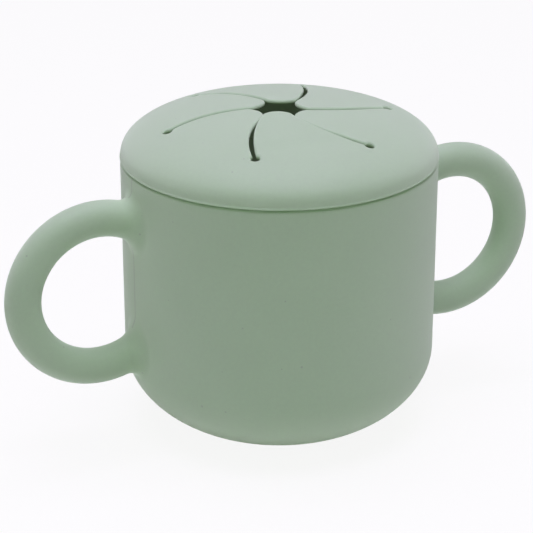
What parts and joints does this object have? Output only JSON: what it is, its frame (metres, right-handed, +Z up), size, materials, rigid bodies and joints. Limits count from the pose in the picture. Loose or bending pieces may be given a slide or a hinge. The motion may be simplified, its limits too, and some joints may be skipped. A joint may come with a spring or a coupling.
{
  "type": "toddler snack cup",
  "caption": "Round silicone snack cup with ring handles on both sides and a pull-off crowned lid whose spiral-slit flaps close round a small star-shaped hole.",
  "frame": {"origin": "centre of the flat base, on the surface that the cup stands on", "axes": "+Z up along the cup's axis; X runs through both ring handles; Y is across them"},
  "size_m": [0.1476, 0.0802, 0.0846],
  "materials": {
    "cup_silicone": "matte moulded silicone, sage green",
    "lid_silicone": "matte moulded silicone, sage green",
    "flap_silicone": "matte moulded silicone, sage green"
  },
  "bodies": {
    "cup": {"cup": "cup_silicone"},
    "lid": {"lid_ring": "lid_silicone"},
    "flap_1": {"flap_1": "flap_silicone"},
    "flap_2": {"flap_2": "flap_silicone"},
    "flap_3": {"flap_3": "flap_silicone"},
    "flap_4": {"flap_4": "flap_silicone"},
    "flap_5": {"flap_5": "flap_silicone"},
    "flap_6": {"flap_6": "flap_silicone"}
  },
  "joints": [
    {"name": "lid_pull_off", "type": "slide", "parent": "cup", "child": "lid", "axis": [0, 0, 1], "range_m": [0, 0.03]},
    {"name": "flap_1_bend", "type": "hinge", "parent": "lid", "child": "flap_1", "pos_m": [0.02312, 0.00981, 0.08051], "axis": [0.3907, -0.9205, 0], "range_deg": [-40, 70], "stiffness_Nm_per_rad": 0.02},
    {"name": "flap_2_bend", "type": "hinge", "parent": "lid", "child": "flap_2", "pos_m": [0.00306, 0.02493, 0.08051], "axis": [0.9925, -0.1219, 0], "range_deg": [-40, 70], "stiffness_Nm_per_rad": 0.02},
    {"name": "flap_3_bend", "type": "hinge", "parent": "lid", "child": "flap_3", "pos_m": [-0.02006, 0.01511, 0.08051], "axis": [0.6018, 0.7986, 0], "range_deg": [-40, 70], "stiffness_Nm_per_rad": 0.02},
    {"name": "flap_4_bend", "type": "hinge", "parent": "lid", "child": "flap_4", "pos_m": [-0.02312, -0.00981, 0.08051], "axis": [-0.3907, 0.9205, 0], "range_deg": [-40, 70], "stiffness_Nm_per_rad": 0.02},
    {"name": "flap_5_bend", "type": "hinge", "parent": "lid", "child": "flap_5", "pos_m": [-0.00306, -0.02493, 0.08051], "axis": [-0.9925, 0.1219, 0], "range_deg": [-40, 70], "stiffness_Nm_per_rad": 0.02},
    {"name": "flap_6_bend", "type": "hinge", "parent": "lid", "child": "flap_6", "pos_m": [0.02006, -0.01511, 0.08051], "axis": [-0.6018, -0.7986, 0], "range_deg": [-40, 70], "stiffness_Nm_per_rad": 0.02}
  ]
}
